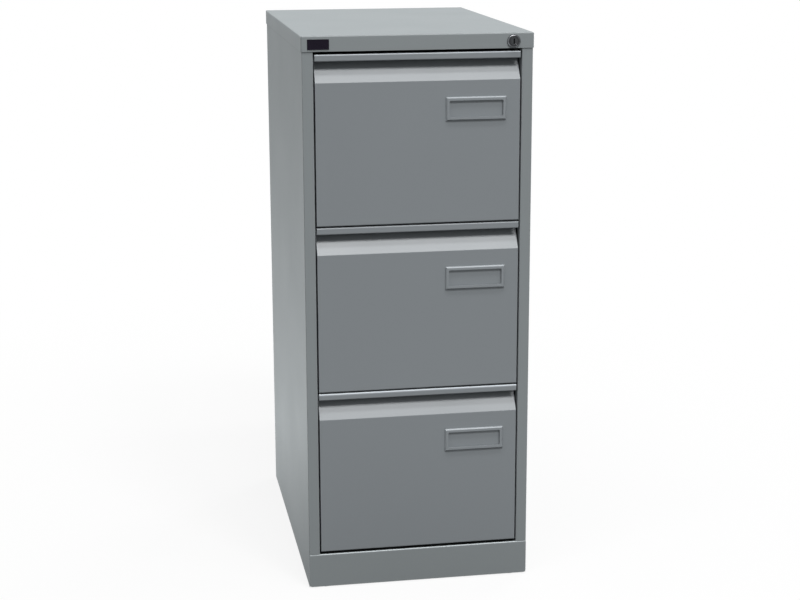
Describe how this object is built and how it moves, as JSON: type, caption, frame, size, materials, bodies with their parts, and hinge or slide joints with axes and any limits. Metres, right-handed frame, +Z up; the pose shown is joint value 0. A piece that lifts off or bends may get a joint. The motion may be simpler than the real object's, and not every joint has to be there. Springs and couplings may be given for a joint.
{
  "type": "vertical filing cabinet",
  "caption": "Upright sheet-steel filing cabinet with full-width finger-grip drawers on ball runners, card holders, a plinth and a key lock that bars the drawers.",
  "frame": {"origin": "on the floor, under the middle of the cap", "axes": "+X to the right of someone facing the drawers, +Y to the back, +Z up"},
  "size_m": [0.413, 0.626, 1.016],
  "materials": {
    "silver_paint": "fine satin powder coat, silver grey",
    "zinc_plate": "bright zinc plate",
    "black_nickel": "black nickel plate",
    "black_plug": "blackened lock plug",
    "white_nylon": "natural nylon",
    "dark_plastic": "dark nylon"
  },
  "bodies": {
    "case": {"top_panel": "silver_paint", "left_side_panel": "silver_paint", "right_side_panel": "silver_paint", "back_panel": "silver_paint", "base_panel": "silver_paint", "plinth": "silver_paint", "front_uprights": "silver_paint", "rear_uprights": "silver_paint", "floor_glides": "dark_plastic", "lock_housing": "black_nickel", "lock_nut": "zinc_plate", "lock_bar_guides": "white_nylon", "runner_1_left_outer_rail": "zinc_plate", "runner_1_right_outer_rail": "zinc_plate", "runner_2_left_outer_rail": "zinc_plate", "runner_2_right_outer_rail": "zinc_plate", "runner_3_left_outer_rail": "zinc_plate", "runner_3_right_outer_rail": "zinc_plate"},
    "drawer_1": {"drawer_1_front": "silver_paint", "drawer_1_liner": "silver_paint", "drawer_1_tray": "silver_paint", "drawer_1_back": "silver_paint", "drawer_1_card_holder": "silver_paint", "drawer_1_catch": "zinc_plate", "drawer_1_left_inner_rail": "zinc_plate", "drawer_1_right_inner_rail": "zinc_plate"},
    "runner_1_middle_rails": {"runner_1_left_middle_rail": "zinc_plate", "runner_1_right_middle_rail": "zinc_plate"},
    "runner_1_outer_cages": {"runner_1_outer_ball_cages": "zinc_plate"},
    "runner_1_inner_cages": {"runner_1_inner_ball_cages": "zinc_plate"},
    "drawer_2": {"drawer_2_front": "silver_paint", "drawer_2_liner": "silver_paint", "drawer_2_tray": "silver_paint", "drawer_2_back": "silver_paint", "drawer_2_card_holder": "silver_paint", "drawer_2_catch": "zinc_plate", "drawer_2_left_inner_rail": "zinc_plate", "drawer_2_right_inner_rail": "zinc_plate"},
    "runner_2_middle_rails": {"runner_2_left_middle_rail": "zinc_plate", "runner_2_right_middle_rail": "zinc_plate"},
    "runner_2_outer_cages": {"runner_2_outer_ball_cages": "zinc_plate"},
    "runner_2_inner_cages": {"runner_2_inner_ball_cages": "zinc_plate"},
    "drawer_3": {"drawer_3_front": "silver_paint", "drawer_3_liner": "silver_paint", "drawer_3_tray": "silver_paint", "drawer_3_back": "silver_paint", "drawer_3_card_holder": "silver_paint", "drawer_3_catch": "zinc_plate", "drawer_3_left_inner_rail": "zinc_plate", "drawer_3_right_inner_rail": "zinc_plate"},
    "runner_3_middle_rails": {"runner_3_left_middle_rail": "zinc_plate", "runner_3_right_middle_rail": "zinc_plate"},
    "runner_3_outer_cages": {"runner_3_outer_ball_cages": "zinc_plate"},
    "runner_3_inner_cages": {"runner_3_inner_ball_cages": "zinc_plate"},
    "lock_cylinder": {"lock_barrel": "black_plug", "lock_cam": "zinc_plate", "cam_screw": "zinc_plate"},
    "lock_bar": {"lock_bar": "zinc_plate", "lock_hooks": "zinc_plate"}
  },
  "joints": [
    {"name": "drawer_1_slide", "type": "slide", "parent": "case", "child": "drawer_1", "axis": [0, -1, 0], "range_m": [0, 0.55]},
    {"name": "runner_1_middle_rails_slide", "type": "slide", "parent": "case", "child": "runner_1_middle_rails", "axis": [0, -1, 0], "range_m": [0, 0.275]},
    {"name": "runner_1_outer_cages_slide", "type": "slide", "parent": "case", "child": "runner_1_outer_cages", "axis": [0, -1, 0], "range_m": [0, 0.1375]},
    {"name": "runner_1_inner_cages_slide", "type": "slide", "parent": "case", "child": "runner_1_inner_cages", "axis": [0, -1, 0], "range_m": [0, 0.4125]},
    {"name": "drawer_2_slide", "type": "slide", "parent": "case", "child": "drawer_2", "axis": [0, -1, 0], "range_m": [0, 0.55]},
    {"name": "runner_2_middle_rails_slide", "type": "slide", "parent": "case", "child": "runner_2_middle_rails", "axis": [0, -1, 0], "range_m": [0, 0.275]},
    {"name": "runner_2_outer_cages_slide", "type": "slide", "parent": "case", "child": "runner_2_outer_cages", "axis": [0, -1, 0], "range_m": [0, 0.1375]},
    {"name": "runner_2_inner_cages_slide", "type": "slide", "parent": "case", "child": "runner_2_inner_cages", "axis": [0, -1, 0], "range_m": [0, 0.4125]},
    {"name": "drawer_3_slide", "type": "slide", "parent": "case", "child": "drawer_3", "axis": [0, -1, 0], "range_m": [0, 0.55]},
    {"name": "runner_3_middle_rails_slide", "type": "slide", "parent": "case", "child": "runner_3_middle_rails", "axis": [0, -1, 0], "range_m": [0, 0.275]},
    {"name": "runner_3_outer_cages_slide", "type": "slide", "parent": "case", "child": "runner_3_outer_cages", "axis": [0, -1, 0], "range_m": [0, 0.1375]},
    {"name": "runner_3_inner_cages_slide", "type": "slide", "parent": "case", "child": "runner_3_inner_cages", "axis": [0, -1, 0], "range_m": [0, 0.4125]},
    {"name": "lock_turn", "type": "hinge", "parent": "case", "child": "lock_cylinder", "pos_m": [0.1695, -0.311, 1.0013], "axis": [0, 1, 0], "range_deg": [0, 90]},
    {"name": "lock_bar_lift", "type": "slide", "parent": "case", "child": "lock_bar", "axis": [0, 0, 1], "range_m": [0, 0.0099]}
  ],
  "couplings": [
    {"joint": "runner_1_middle_rails_slide", "follows": "drawer_1_slide", "ratio": 0.5},
    {"joint": "runner_1_outer_cages_slide", "follows": "drawer_1_slide", "ratio": 0.25},
    {"joint": "runner_1_inner_cages_slide", "follows": "drawer_1_slide", "ratio": 0.75},
    {"joint": "runner_2_middle_rails_slide", "follows": "drawer_2_slide", "ratio": 0.5},
    {"joint": "runner_2_outer_cages_slide", "follows": "drawer_2_slide", "ratio": 0.25},
    {"joint": "runner_2_inner_cages_slide", "follows": "drawer_2_slide", "ratio": 0.75},
    {"joint": "runner_3_middle_rails_slide", "follows": "drawer_3_slide", "ratio": 0.5},
    {"joint": "runner_3_outer_cages_slide", "follows": "drawer_3_slide", "ratio": 0.25},
    {"joint": "runner_3_inner_cages_slide", "follows": "drawer_3_slide", "ratio": 0.75},
    {"joint": "lock_bar_lift", "follows": "lock_turn", "m_per_rad": 0.0063022}
  ]
}
